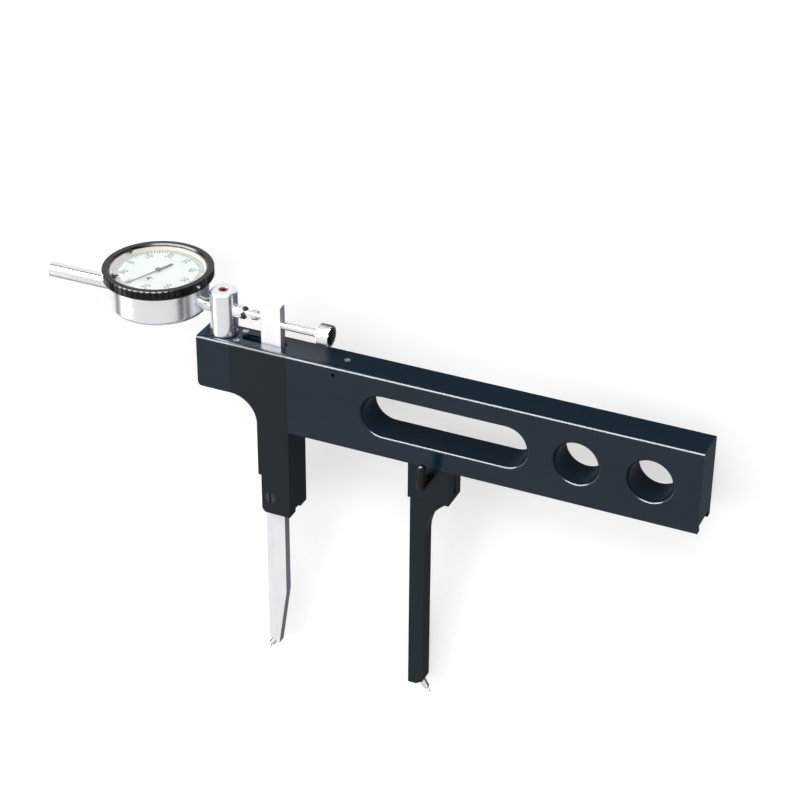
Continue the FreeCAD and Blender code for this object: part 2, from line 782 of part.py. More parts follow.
def make_crystal():
    return dial_turned([(crystal_z, 0), (crystal_z, crystal_radius), (crystal_z + crystal_thickness, crystal_radius),
                        (crystal_z + crystal_thickness, 0)])


def make_dial_ring():
    """The graduated ring, which turns with the bezel."""
    low, high = face_z - face_thickness, face_z
    return dial_turned([(low, face_split_radius), (low, neck_radius - seat_gap), (high, neck_radius - seat_gap),
                        (high, face_split_radius)])


def make_dial_centre():
    """The fixed middle of the dial, on its post in the case's deck."""
    low = neck_top_z
    rim = face_split_radius - 0.1
    disc = dial_turned([(low, 0), (low, 0.75 * rim), (face_z - face_thickness, 0.75 * rim),
                        (face_z - face_thickness, rim), (face_z, rim), (face_z, 0)])
    return disc.cut([rod(arbor_radius + running_gap, at(dial_x, 0, low - 1), at(dial_x, 0, face_z + 1)),
                     rod(arbor_radius + running_gap, counter_centre(low - 1), counter_centre(face_z + 1))])


def counter_centre(z):
    return at(dial_x + counter_x, counter_y, z)


def hand(centre, hub_radius, hub_height, tip_length, tip_width, tail_length, tail_width, angle_deg):
    """A flat pointer with a hub on an arbor that runs in the case's deck."""
    angle = math.radians(angle_deg)
    along = at(math.cos(angle), math.sin(angle), 0)
    side = Z_AXIS.cross(along)
    points = [centre + along * tip_length + side * (tip_width / 2.0),
              centre - along * tail_length + side * (tail_width / 2.0),
              centre - along * tail_length - side * (tail_width / 2.0),
              centre + along * tip_length - side * (tip_width / 2.0)]
    blade = prism(points, at(0, 0, pointer_thickness))
    hub = rod(hub_radius, centre - Z_AXIS * 0.1, centre + Z_AXIS * hub_height)
    arbor_end = at(centre.x, centre.y, neck_top_z - case_deck - 0.5)
    return unite(blade, hub, rod(arbor_radius, arbor_end, centre))


def make_pointer():
    centre = at(dial_x, 0, face_z + 2 * free_gap)
    return hand(centre, pointer_hub_radius, pointer_hub_height, pointer_length, pointer_tip_width,
                pointer_tail, pointer_tail_width, pointer_angle_deg)


def make_counter_hand():
    centre = counter_centre(face_z + 0.15)
    return hand(centre, counter_hub_radius, pointer_thickness + 0.05, counter_hand_length, 0.3, 0.6, 0.8,
                counter_angle_deg)


def make_marker(angle_deg):
    """A limit marker: a slip on the crystal, under the bezel's lip, with a pointed finger inwards."""
    z = crystal_z + crystal_thickness
    outer, inner = bezel_lip_radius - free_gap - 0.6, bezel_lip_radius - free_gap - 1.8
    half = marker_width_deg
    ring = [polar(outer, angle_deg - half, z), polar(outer, angle_deg, z), polar(outer, angle_deg + half, z)]
    hoop = [polar(inner, angle_deg + half, z), polar(inner, angle_deg, z), polar(inner, angle_deg - half, z)]
    edges = [arc(*ring), line(ring[2], hoop[0]), arc(*hoop), line(hoop[2], ring[0])]
    slip = swept(edges, at(0, 0, marker_height))
    tip = polar(outer - marker_reach, angle_deg, z)
    finger = prism([polar(inner + 0.4, angle_deg - half / 2.5, z), tip, polar(inner + 0.4, angle_deg + half / 2.5, z)],
                   at(0, 0, marker_height))
    return unite(slip, finger)


# ---- indicator: plunger --------------------------------------------------------------------------
def make_plunger():
    bar = rod(plunger_radius, at(plunger_end_x, 0, stem_z), at(tip_start_x, 0, stem_z))
    bore = rod(tip_spigot_radius + seat_gap, at(tip_start_x - tip_spigot_length - seat_gap, 0, stem_z),
               at(tip_start_x + 1, 0, stem_z))
    return bar.cut(bore)


def make_contact_point():
    """The screwed-in contact point with a ball-nosed end against the lever."""
    ball_x = lever_left_x - seat_gap - tip_ball_radius
    start = at(tip_start_x, 0, stem_z)
    cap = turned([(0, 0), (0, tip_cap_radius - 0.2), (0.2, tip_cap_radius), (tip_cap_length - 0.6, tip_cap_radius),
                  (tip_cap_length, tip_ball_radius), (tip_cap_length, 0)], start, X_AXIS)
    neck = rod(tip_ball_radius, start, at(ball_x, 0, stem_z))
    spigot = rod(tip_spigot_radius, start - X_AXIS * tip_spigot_length, start)
    return unite(cap, neck, Part.makeSphere(tip_ball_radius, at(ball_x, 0, stem_z)), spigot)


# ---- slider, arm and clamp -----------------------------------------------------------------------
def slider_right_x():
    return slider_left_x + slider_width


def slider_axis():
    """Where the clamp's screw crosses the slider."""
    return at(slider_left_x + clamp_offset_x, 0, clamp_z)


def make_slider():
    """The slider's split head with its dovetail and the arm below, in one piece."""
    left, right = slider_left_x, slider_right_x()
    half = slider_depth / 2.0
    head = block((left, right), (-half, half), (-slider_height, -slide_gap))
    tongue = dovetail(groove_mouth - 2 * slide_gap, groove_ceiling - 4 * slide_gap, groove_depth - free_gap,
                      left, right, slide_gap)
    flank = 2.5 * slide_gap
    tongue = tongue.common(block((left, right), (-groove_ceiling, groove_ceiling), (-slide_gap, groove_depth)))
    tongue = tongue.common(dovetail_limit(left, right, flank))
    arm = make_arm(left, right)
    body = unite(head, tongue, arm)
    slit_half = slider_slit / 2.0
    screw = slider_axis()
    cuts = [block((left - 1, right + 1), (-slit_half, slit_half), (slider_relief_z, groove_depth + 1)),
            rod(slider_relief_radius, at(left - 1, 0, slider_relief_z), at(right + 1, 0, slider_relief_z)),
            rod(clamp_thread_radius + running_gap, screw - Y_AXIS * (half + 1), screw + Y_AXIS * (clamp_thread_end_y + 1)),
            rod(contact_shank_radius + seat_gap, arm_face() + contact_axis(1),
                arm_face() - contact_axis(1) * contact_seat)]
    return body.cut(cuts)


def dovetail_limit(left, right, flank):
    """The dovetail groove's room less a clearance on each flank."""
    slope = (groove_ceiling - groove_mouth) / 2.0 / groove_depth
    low, high = -1.0, groove_depth + 1.0
    half_low = groove_mouth / 2.0 + slope * low - flank
    half_high = groove_mouth / 2.0 + slope * high - flank
    points = [at(left, -half_low, low), at(left, -half_high, high), at(left, half_high, high), at(left, half_low, low)]
    return prism(points, at(right - left, 0, 0))


def make_arm(left, right):
    """The arm, flared into the head by a large arc and chamfered square to its contact."""
    y = -arm_thickness / 2.0
    arm_right = left + arm_width
    run = right - arm_right
    drop = math.sqrt(arm_flare_radius ** 2 - (arm_flare_radius - run) ** 2)
    low = -slider_height - drop
    half_turn = math.asin(drop / arm_flare_radius) / 2.0
    middle = at(arm_right + arm_flare_radius * (1 - math.cos(half_turn)), y,
                low + arm_flare_radius * math.sin(half_turn))
    face = arm_face()
    half_rise = contact_face_rise() * arm_chamfer_width / 2.0
    bottom = face.z - half_rise
    chamfer = [at(arm_right - arm_chamfer_width, y, bottom), at(arm_right, y, face.z + half_rise)]
    corners = [at(arm_right, y, low), chamfer[1], chamfer[0], at(left, y, bottom), at(left, y, -slider_height),
               at(right, y, -slider_height)]
    edges = [line(a, b) for a, b in zip(corners, corners[1:])]
    edges.append(arc(corners[-1], middle, corners[0]))
    return swept(edges, at(0, arm_thickness, 0))


def make_clamp_lever():
    """A bent round rod: its threaded end draws the slider's halves, its handle stands up."""
    screw = slider_axis()
    face_y = -slider_depth / 2.0 - seat_gap
    elbow_y = face_y - clamp_reach
    lean = math.radians(clamp_lean_deg)
    up = at(math.sin(lean), 0, math.cos(lean))
    bend = clamp_bend_radius
    elbow = at(screw.x, elbow_y, screw.z)
    stub_end = elbow + Y_AXIS * bend
    handle_start = elbow + up * bend
    handle_end = elbow + up * clamp_handle
    centre = elbow + Y_AXIS * bend + up * bend
    inward = (Y_AXIS * -1 - up).normalize() * bend
    path = Part.Wire([line(at(screw.x, face_y, screw.z), stub_end), arc(stub_end, centre + inward, handle_start),
                      line(handle_start, handle_end)])
    section = Part.Wire(Part.makeCircle(clamp_rod_radius, at(screw.x, face_y, screw.z), Y_AXIS))
    bent = path.makePipeShell([section], True, True)
    knob = Part.makeSphere(clamp_rod_radius, handle_end)
    thread = rod(clamp_thread_radius, at(screw.x, face_y - 1, screw.z), at(screw.x, clamp_thread_end_y, screw.z))
    return unite(bent, knob, thread)


# ---- the rest position ---------------------------------------------------------------------------
def rest_plane():
    """The plane y = level + slope_x * x + slope_z * z that the gauge lies on.

    It touches the leg's foot, the beam's far end and the lower edge of the bezel's rim.
    """
    run, rise = beam_end_x, -leg_bottom_z
    rim_z = bezel_bottom_z + bezel_chamfer
    slope_x, slope_z = 0.0, 0.0
    for _ in range(40):
        reach = bezel_radius * math.sqrt(1.0 + slope_x ** 2)
        slope_z = (reach - half_depth - slope_x * dial_x) / (rim_z - leg_bottom_z)
        slope_x = -slope_z * rise / run
    return slope_x, slope_z


def rest_placement():
    """Turns the working frame so that the rest plane is level, the front face upwards."""
    slope_x, slope_z = rest_plane()
    up = at(slope_x, -1, slope_z).normalize()
    along = (X_AXIS - up * up.x).normalize()
    across = up.cross(along)
    matrix = FreeCAD.Matrix(along.x, along.y, along.z, 0, across.x, across.y, across.z, 0, up.x, up.y, up.z, 0,
                            0, 0, 0, 1)
    return FreeCAD.Placement(matrix)


def make_pieces():
    return {
        "beam": make_beam(),
        "front_plate": make_front_plate(),
        "leg": make_leg(),
        "back_screws": make_back_screws(),
        "cover_plate": make_cover_plate(),
        "cover_screws": make_cover_screws(),
        "pivot_screw": make_pivot_screw(),
        "lever": make_lever(),
        "lever_contact": make_contact(lever_face(), -1),
        "push_rod": make_push_rod(),
        "knob": make_knob(),
        "knob_inlay": make_knob_inlay(),
        "lever_spring": make_lever_spring(),
        "indicator_post": make_indicator_post(),
        "post_screw": make_post_screw(),
        "clamp_set_screw": make_set_screw(),
        "case": make_case(),
        "case_back": make_case_back(),
        "case_screws": make_case_screws(),
        "stem": make_stem(),
        "stem_ring": make_stem_ring(),
        "cap_tube": make_cap_tube(),
        "bezel": make_bezel(),
        "crystal": make_crystal(),
        "dial_ring": make_dial_ring(),
        "dial_centre": make_dial_centre(),
        "pointer": make_pointer(),
        "counter_hand": make_counter_hand(),
        "low_limit_marker": make_marker(marker_low_deg),
        "high_limit_marker": make_marker(marker_high_deg),
        "plunger": make_plunger(),
        "contact_point": make_contact_point(),
        "slider": make_slider(),
        "clamp_lever": make_clamp_lever(),
        "arm_contact": make_contact(arm_face(), 1),
    }


def laid_down(pieces):
    """The pieces at rest, with the origin under the middle of their common box."""
    turn = rest_placement().toMatrix()
    laid = {name: shape.transformShape(turn, True) or shape for name, shape in pieces.items()}
    box = Base.BoundBox()
    for shape in laid.values():
        box.add(shape.optimalBoundingBox(False))
    shift = at(-box.Center.x, -box.Center.y, -box.ZMin)
    for shape in laid.values():
        shape.translate(shift)
    return laid, shift


def main():
    os.makedirs("parts", exist_ok=True)
    laid, _ = laid_down(make_pieces())
    for name, shape in laid.items():
        shape.exportStep("parts/" + name + ".step")


main()
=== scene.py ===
"""Looks of the dial bore gauge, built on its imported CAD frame.

The gauge lies on its back. Its own directions are used throughout: along the beam, away from the
front face, and up the post. Lengths are in millimetres until place() turns them into the frame.
"""

import json
import math

import bmesh
import bpy
from bpy.props import FloatProperty, FloatVectorProperty, IntProperty, PointerProperty
from mathutils import Matrix, Vector


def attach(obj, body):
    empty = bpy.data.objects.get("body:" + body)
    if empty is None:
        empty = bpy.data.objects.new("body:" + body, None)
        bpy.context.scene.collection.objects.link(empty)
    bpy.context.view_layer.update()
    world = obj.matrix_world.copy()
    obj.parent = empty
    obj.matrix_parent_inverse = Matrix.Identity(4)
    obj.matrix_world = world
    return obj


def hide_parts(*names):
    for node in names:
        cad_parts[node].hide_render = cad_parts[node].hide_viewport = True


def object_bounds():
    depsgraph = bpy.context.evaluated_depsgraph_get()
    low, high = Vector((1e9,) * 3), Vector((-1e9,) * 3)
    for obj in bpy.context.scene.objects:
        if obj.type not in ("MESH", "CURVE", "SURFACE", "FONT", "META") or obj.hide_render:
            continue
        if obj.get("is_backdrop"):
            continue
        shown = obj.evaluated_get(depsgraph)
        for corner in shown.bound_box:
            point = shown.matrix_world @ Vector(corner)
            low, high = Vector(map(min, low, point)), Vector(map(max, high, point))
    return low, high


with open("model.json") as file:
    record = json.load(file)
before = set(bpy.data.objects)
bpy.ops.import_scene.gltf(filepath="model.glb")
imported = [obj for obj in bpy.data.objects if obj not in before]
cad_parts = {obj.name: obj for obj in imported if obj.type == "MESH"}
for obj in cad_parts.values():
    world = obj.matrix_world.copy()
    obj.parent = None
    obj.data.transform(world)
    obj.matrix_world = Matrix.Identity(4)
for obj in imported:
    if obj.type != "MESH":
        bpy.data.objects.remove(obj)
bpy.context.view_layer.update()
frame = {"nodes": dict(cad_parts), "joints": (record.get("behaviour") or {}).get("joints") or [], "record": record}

bl_info = {
    "name": "Dial Bore Gauge",
    "version": (1, 0, 0),
    "blender": (4, 5, 0),
    "location": "View3D > Sidebar > Bore Gauge",
    "description": "Finishes, dial print, knurls and studio of a dial bore gauge",
    "category": "Add Mesh",
}

JOINTS = {joint["name"]: joint for joint in frame["joints"]}
MM = 0.001


def joint_axis(name):
    return Vector(JOINTS[name]["axis"]).normalized()


ALONG = joint_axis("slider_slide")
UP = joint_axis("bezel_turn")
AWAY = -joint_axis("lever_swing")
PIVOT = Vector(JOINTS["lever_swing"]["pos_m"])
PIVOT_ALONG, PIVOT_UP = -11.3, -43.2  # the lever's pivot, mm from the gauge's own origin
ORIGIN = PIVOT - ALONG * (PIVOT_ALONG * MM) - UP * (PIVOT_UP * MM)
GAUGE = Matrix.Translation(ORIGIN) @ Matrix((ALONG, AWAY, UP)).transposed().to_4x4()
INTO_GAUGE = GAUGE.inverted()


def place(x, y, z):
    """A point given in millimetres along, away and up, in the frame."""
    return GAUGE @ Vector((x * MM, y * MM, z * MM))


def local(point):
    """A point of the frame in millimetres along, away and up."""
    return INTO_GAUGE @ Vector(point) / MM


def at(x, y, z):
    """The gauge's directions, moved to a point given in millimetres."""
    return GAUGE @ Matrix.Translation(Vector((x, y, z)) * MM)


def node_points(name):
    """The vertices of a CAD node, in millimetres along, away and up."""
    return [local(vertex.co) for vertex in frame["nodes"][name].data.vertices]


# ---- settings ------------------------------------------------------------------------------------
def srgb(code):
    """A hex colour as linear red, green and blue."""
    channels = [int(code[i:i + 2], 16) / 255.0 for i in (0, 2, 4)]
    return tuple(c / 12.92 if c <= 0.04045 else ((c + 0.055) / 1.055) ** 2.4 for c in channels)


def colour(name, code, description):
    return FloatVectorProperty(name=name, description=description, default=srgb(code), size=3,
                               min=0.0, max=1.0, subtype="COLOR")


def length(name, default, description):
    return FloatProperty(name=name, description=description, default=default, min=0.0, unit="NONE")


class GAUGE_PG_finishes(bpy.types.PropertyGroup):
    """Colours of the gauge's finishes."""
    anodised: colour("Anodised beam", "0d1f2d", "Black anodised aluminium of the beam")
    satin: colour("Satin black", "08171f", "Bead blasted and anodised leg, plate and slider")
    steel: colour("Ground steel", "c9cacd", "Ground tool steel of the lever")
    chrome: colour("Satin chrome", "d9dbde", "Satin chrome plating")
    dial: colour("Dial paint", "e0e9e4", "Pale dial paint")
    ink: colour("Dial ink", "12181b", "Printed graduations and figures")
    lacquer: colour("Locking lacquer", "74181f", "Red lacquer on the set screw")


class GAUGE_PG_dial(bpy.types.PropertyGroup):
    """Sizes of the dial's print."""
    divisions: IntProperty(name="Divisions", description="Graduations round the dial", default=100, min=10)
    figures: IntProperty(name="Figures", description="Figures round the dial", default=10, min=1)
    zero_deg: FloatProperty(name="Zero", description="Direction of the zero, from the stem's side",
                            default=171.5)
    figure_radius: length("Figure circle", 17.4, "Radius of the circle of figures, mm")
    figure_size: length("Figure size", 3.5, "Height of the figures, mm")
    line_radius: length("Outer line", 23.6, "Radius of the line round the graduations, mm")
    short_line: length("Short graduation", 2.9, "Length of a short graduation, mm")
    long_line: length("Long graduation", 4.0, "Length of a long graduation, mm")


class GAUGE_PG_studio(bpy.types.PropertyGroup):
    """The camera: its turn, height, roll, distance, lens and aim."""
    azimuth: FloatProperty(name="Azimuth", description="Camera's turn about the post", default=23.889)
    elevation: FloatProperty(name="Elevation", description="Camera's height above the beam's top",
                             default=30.972)
    roll: FloatProperty(name="Roll", description="Camera's turn about its own axis", default=0.486)
    distance: length("Distance", 1116.98, "From the camera to its aim, mm")
    lens: length("Lens", 98.68, "Focal length, mm")
    aim: FloatVectorProperty(name="Aim", description="Point looked at, mm along, away and up", size=3,
                             default=(54.864, 8.901, 23.531))


# ---- working with meshes -------------------------------------------------------------------------
def deselect():
    if bpy.context.object and bpy.context.object.mode != "OBJECT":
        bpy.ops.object.mode_set(mode="OBJECT")
    bpy.ops.object.select_all(action="DESELECT")


def choose(*objects):
    deselect()
    for obj in objects:
        obj.select_set(True)
    bpy.context.view_layer.objects.active = objects[-1]
    return objects[-1]


def edit(obj, pick, kind="FACE"):
    """Enters edit mode with only the elements that pass the test selected."""
    choose(obj)
    bpy.ops.object.mode_set(mode="EDIT")
    bpy.ops.mesh.select_mode(type=kind)
    bpy.ops.mesh.select_all(action="DESELECT")
    mesh = bmesh.from_edit_mesh(obj.data)
    for element in {"FACE": mesh.faces, "EDGE": mesh.edges}[kind]:
        if pick(element):
            element.select_set(True)
    bmesh.update_edit_mesh(obj.data)


def leave_edit():
    bpy.ops.object.mode_set(mode="OBJECT")


def set_down(obj, matrix):
    """Puts a piece modelled about the origin, in metres, at its place and applies it."""
    obj.matrix_world = matrix
    choose(obj)
    bpy.ops.object.transform_apply(location=True, rotation=True, scale=True)
    return obj


def finished(obj, name, body, material, smooth_deg=30.0, replaced=()):
    """Names a piece, gives it its material and slot, and lets it ride on its CAD body."""
    choose(obj)
    obj.name = obj.data.name = name
    bpy.ops.object.shade_smooth_by_angle(angle=math.radians(smooth_deg))
    obj.data.materials.clear()
    obj.data.materials.append(material)
    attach(obj, body)
    if replaced:
        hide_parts(*replaced)
    return obj


def bevelled(obj, width, segments=2, angle_deg=30.0):
    choose(obj)
    bevel = obj.modifiers.new("Edge", "BEVEL")
    bevel.width = width * MM
    bevel.segments = segments
    bevel.limit_method = "ANGLE"
    bevel.angle_limit = math.radians(angle_deg)
    bpy.ops.object.modifier_apply(modifier=bevel.name)
    return obj


def joined(objects):
    choose(*objects)
    bpy.ops.object.join()
    return bpy.context.object


# ---- materials -----------------------------------------------------------------------------------
def add_node(tree, kind, settings=None, **inputs):
    """Adds a node; an input is a value, or another node's socket to link from."""
    node = tree.nodes.new(kind)
    for name, value in (settings or {}).items():
        setattr(node, name, value)
    for name, value in inputs.items():
        key = int(name[1:]) if name[0] == "_" else name.replace("_", " ")
        socket = node.inputs[key]
        if isinstance(value, bpy.types.NodeSocket):
            tree.links.new(value, socket)
        else:
            socket.default_value = value
    return node


def new_material(name):
    material = bpy.data.materials.new(name)
    material.use_nodes = True
    tree = material.node_tree
    tree.nodes.clear()
    return material, tree


def finish_tree(tree, shader):
    """Sends a shader to the surface."""
    output = add_node(tree, "ShaderNodeOutputMaterial")
    tree.links.new(shader.outputs[0], output.inputs["Surface"])


def rgba(value):
    return (*value[:3], 1.0)


def gauge_coordinates(tree, scale=(1, 1, 1)):
    """Object coordinates in millimetres along, away and up, then stretched."""
    where = add_node(tree, "ShaderNodeTexCoord")
    turned = add_node(tree, "ShaderNodeMapping", {"vector_type": "POINT"},
                      Vector=where.outputs["Object"], Location=INTO_GAUGE.translation / MM,
                      Rotation=INTO_GAUGE.to_euler(), Scale=(1 / MM, 1 / MM, 1 / MM))
    return add_node(tree, "ShaderNodeMapping", {"vector_type": "POINT"},
                    Vector=turned.outputs[0], Scale=scale).outputs[0]


def grain(tree, scale, size=1.0, detail=3.0):
    """Fine noise, stretched by a scale in cycles for each millimetre."""
    return add_node(tree, "ShaderNodeTexNoise", Vector=gauge_coordinates(tree, scale), Scale=size,
                    Detail=detail, Roughness=0.6).outputs["Fac"]


def ranged(tree, value, low, high, start=0.3, end=0.7):
    return add_node(tree, "ShaderNodeMapRange", Value=value, From_Min=start, From_Max=end,
                    To_Min=low, To_Max=high).outputs["Result"]


def shades(tree, value, dark, light, start=0.3, end=0.7):
    ramp = add_node(tree, "ShaderNodeValToRGB", Fac=value)
    ramp.color_ramp.elements[0].position, ramp.color_ramp.elements[1].position = start, end
    ramp.color_ramp.elements[0].color, ramp.color_ramp.elements[1].color = rgba(dark), rgba(light)
    return ramp.outputs["Color"]


def bump(tree, height, depth_mm, strength=1.0):
    return add_node(tree, "ShaderNodeBump", Height=height, Distance=depth_mm * MM,
                    Strength=strength).outputs["Normal"]


def dimmed(value, factor):
    return tuple(channel * factor for channel in value[:3])


def any_ray(tree, *kinds):
    """1 for a ray of any of the named kinds, else 0."""
    path = add_node(tree, "ShaderNodeLightPath")
    found = path.outputs[kinds[0]]
    for kind in kinds[1:]:
        found = add_node(tree, "ShaderNodeMath", {"operation": "MAXIMUM"}, _0=found,
                         _1=path.outputs[kind]).outputs[0]
    return found


def brushed_anodised(tint):
    """Black anodised aluminium, brushed along its length: long fine lines and a dull gloss."""
    material, tree = new_material("brushed_black_anodised_aluminium")
    lines = grain(tree, (0.03, 5.0, 5.0))
    cloud = grain(tree, (0.02, 0.05, 0.05))
    shader = add_node(tree, "ShaderNodeBsdfPrincipled",
                      Base_Color=shades(tree, cloud, dimmed(tint, 0.85), dimmed(tint, 1.15)),
                      Roughness=ranged(tree, lines, 0.16, 0.24), Specular_IOR_Level=0.26,
                      Normal=bump(tree, lines, 0.002))
    finish_tree(tree, shader)
    return material


def blasted_anodised(tint):
    """Black anodised aluminium over fine bead blasting: even, satin and slightly grained."""
    material, tree = new_material("satin_black_anodised_aluminium")
    grit = grain(tree, (4.0, 4.0, 4.0))
    shader = add_node(tree, "ShaderNodeBsdfPrincipled",
                      Base_Color=shades(tree, grit, dimmed(tint, 0.9), dimmed(tint, 1.1)),
                      Roughness=ranged(tree, grit, 0.24, 0.32), Specular_IOR_Level=0.2,
                      Normal=bump(tree, grit, 0.003))
    finish_tree(tree, shader)
    return material


def ground_steel(tint):
    """Tool steel, surface ground along the lever: bright, with fine long lines."""
    material, tree = new_material("ground_tool_steel")
    lines = grain(tree, (4.0, 4.0, 0.05))
    cloud = grain(tree, (0.08, 0.08, 0.03))
    shader = add_node(tree, "ShaderNodeBsdfPrincipled", Metallic=1.0,
                      Base_Color=shades(tree, cloud, dimmed(tint, 0.93), tint),
                      Roughness=ranged(tree, lines, 0.38, 0.5), Normal=bump(tree, lines, 0.003))
    finish_tree(tree, shader)
    return material


def chrome_plate(name, tint, rough):
    """Chrome plate: mirrors the studio in soft bright and dark bands."""
    material, tree = new_material(name)
    haze = grain(tree, (0.6, 0.6, 0.6))
    shader = add_node(tree, "ShaderNodeBsdfPrincipled", Metallic=1.0, Base_Color=rgba(tint),
                      Roughness=ranged(tree, haze, rough * 0.85, rough * 1.15))
    finish_tree(tree, shader)
    return material


def lacquer(name, tint, rough, gloss=0.5):
    """Paint or lacquer: an even colour under a faint unevenness in its gloss."""
    material, tree = new_material(name)
    flow = grain(tree, (0.5, 0.5, 0.5))
    shader = add_node(tree, "ShaderNodeBsdfPrincipled",
                      Base_Color=shades(tree, flow, dimmed(tint, 0.92), tint),
                      Roughness=ranged(tree, flow, rough * 0.8, rough * 1.2), Specular_IOR_Level=gloss)
    finish_tree(tree, shader)
    return material


def clear_crystal():
    """Moulded acrylic crystal: clear, and light passes it to the dial."""
    material, tree = new_material("clear_acrylic")
    glass = add_node(tree, "ShaderNodeBsdfPrincipled", Base_Color=(0.98, 0.99, 0.985, 1.0),
                     Roughness=0.0, IOR=1.49, Transmission_Weight=1.0)
    through = add_node(tree, "ShaderNodeBsdfTransparent")
    mix = add_node(tree, "ShaderNodeMixShader", Fac=any_ray(tree, "Is Shadow Ray", "Is Diffuse Ray"),
                   _1=glass.outputs[0], _2=through.outputs[0])
    finish_tree(tree, mix)
    return material


class GAUGE_OT_finishes(bpy.types.Operator):
    """Give every node of the frame its finish"""
    bl_idname = "gauge.finishes"
    bl_label = "Finishes"

    def execute(self, context):
        tints = context.scene.gauge_finishes
        made = {
            "black_anodised": brushed_anodised(tints.anodised),
            "black_satin": blasted_anodised(tints.satin),
            "ground_steel": ground_steel(tints.steel),
            "satin_chrome": chrome_plate("satin_chrome_plate", tints.chrome, 0.24),
            "polished_steel": chrome_plate("polished_steel", dimmed(tints.chrome, 0.96), 0.15),
            "zinc_steel": chrome_plate("zinc_plated_steel", tints.steel, 0.28),
            "black_steel": lacquer("black_oxide_steel", srgb("15191c"), 0.32),
            "black_gloss": lacquer("black_enamel", srgb("07090b"), 0.22, 0.22),
            "black_plastic": lacquer("black_abs", srgb("10161b"), 0.18, 0.3),
            "dial_paint": lacquer("dial_paint", tints.dial, 0.5),
            "hand_black": lacquer("black_lacquered_hand", srgb("0a0c0e"), 0.4, 0.15),
            "red_lacquer": lacquer("locking_lacquer", tints.lacquer, 0.3),
            "clear": clear_crystal(),
            "spacer": lacquer("cream_lacquered_ring", srgb("d8cdbd"), 0.45),
            "ink": lacquer("dial_ink", tints.ink, 0.6, 0.1),
        }
        for name, material in made.items():
            material["gauge_slot"] = name
        slots = node_slots()
        for node, obj in frame["nodes"].items():
            obj.data.materials.clear()
            obj.data.materials.append(made[slots[node]])
        return {"FINISHED"}


def node_slots():
    """Which material slot each node of the frame is made in."""
    return {part["node"]: part["material_slot"] for part in frame["record"]["subparts"]}


def finish_of(slot):
    for material in bpy.data.materials:
        if material.get("gauge_slot") == slot:
            return material
    raise RuntimeError("there is no finish for " + slot)


# ---- dial print ----------------------------------------------------------------------------------
PRINT_HEIGHT = 0.02                    # mm, as are the sizes below
TEXT_FOR_HEIGHT = 1.38                 # text size for a figure one unit high
WHOLE_WIDTH, SMALL_WIDTH = 0.6, 0.5    # graduations at a figure, and between
HALF_EXTRA = 0.5                       # a half graduation is this much longer
LINE_WIDTH = 0.14
COUNTER_RADIUS, COUNTER_WIDTH = 2.3, 0.16
HUB_RADIUS, HUB_HEIGHT = 1.5, 0.9
NEEDLE_WIDTHS = (0.75, 0.3)            # at the hub and at the tip
TAIL_LENGTH, TAIL_WIDTHS = 9.5, (1.5, 1.1)
HAND_THICKNESS = 0.3
SPACER_RADIUS = 24.85
SPACER_GAP = 0.04                      # left under the crystal
SPACER_LIFT = 0.03                     # above the dial


def dial_matrix():
    """The dial's own place: its origin on the painted face, in metres."""
    top = max(point.z for point in node_points("dial_ring"))
    centre = local(JOINTS["bezel_turn"]["pos_m"])
    return at(centre.x, centre.y, top)


def block(centre, size, turn=Matrix()):
    """A block about a centre, in millimetres, then turned about the origin."""
    bpy.ops.mesh.primitive_cube_add(size=1.0)
    work = bpy.context.object
    work.matrix_world = (turn @ Matrix.Translation(Vector(centre) * MM)
                         @ Matrix.Diagonal((*(Vector(size) * MM), 1.0)))
    return work


def flat_bar(inner, outer, width, angle_deg):
    """A thin printed line on the dial, from one radius to another."""
    turn = Matrix.Rotation(math.radians(angle_deg), 4, "Z")
    return block(((inner + outer) / 2.0, 0, PRINT_HEIGHT / 2), (outer - inner, width, PRINT_HEIGHT), turn)


def printed_line(radius, width, segments=180):
    """A thin printed circle on the dial."""
    bpy.ops.mesh.primitive_circle_add(vertices=segments, radius=(radius + width / 2) * MM,
                                      fill_type="NGON", location=(0, 0, PRINT_HEIGHT * MM))
    ring = bpy.context.object
    edit(ring, lambda face: True)
    bpy.ops.mesh.inset(thickness=width * MM)
    bpy.ops.mesh.delete(type="FACE")
    leave_edit()
    return ring


def figure(text, size):
    bpy.ops.object.text_add()
    words = bpy.context.object
    words.data.body = text
    words.data.size = size * MM * TEXT_FOR_HEIGHT
    words.data.align_x, words.data.align_y = "CENTER", "CENTER"
    words.data.extrude = PRINT_HEIGHT / 2 * MM
    words.data.resolution_u = 3
    choose(words)
    bpy.ops.object.convert(target="MESH")
    return bpy.context.object


class GAUGE_OT_dial_print(bpy.types.Operator):
    """Print the graduations and figures on the turning dial"""
    bl_idname = "gauge.dial_print"
    bl_label = "Dial print"

    def execute(self, context):
        dial = context.scene.gauge_dial
        pieces = []
        step = 360.0 / dial.divisions
        per_figure = dial.divisions // dial.figures
        for mark in range(dial.divisions):
            whole = mark % per_figure == 0
            half = mark % per_figure == per_figure // 2
            reach = dial.long_line if whole else dial.short_line + HALF_EXTRA * half
            width = WHOLE_WIDTH if whole else SMALL_WIDTH
            pieces.append(flat_bar(dial.line_radius - reach, dial.line_radius, width,
                                   dial.zero_deg - mark * step))
        for count in range(dial.figures):
            angle = math.radians(dial.zero_deg - count * 360.0 / dial.figures)
            digits = figure(str(count * per_figure), dial.figure_size)
            spot = Vector((math.cos(angle), math.sin(angle), 0)) * dial.figure_radius * MM
            digits.matrix_world = (Matrix.Translation(spot + Vector((0, 0, PRINT_HEIGHT / 2 * MM)))
                                   @ Matrix.Rotation(math.radians(dial.zero_deg - 90.0), 4, "Z"))
            pieces.append(digits)
        pieces.append(printed_line(dial.line_radius, LINE_WIDTH))
        print_work = joined(pieces)
        bpy.ops.object.transform_apply(location=True, rotation=True, scale=True)
        set_down(print_work, dial_matrix())
        finished(print_work, "dial_graduations", "bezel_body", finish_of("ink"))
        return {"FINISHED"}


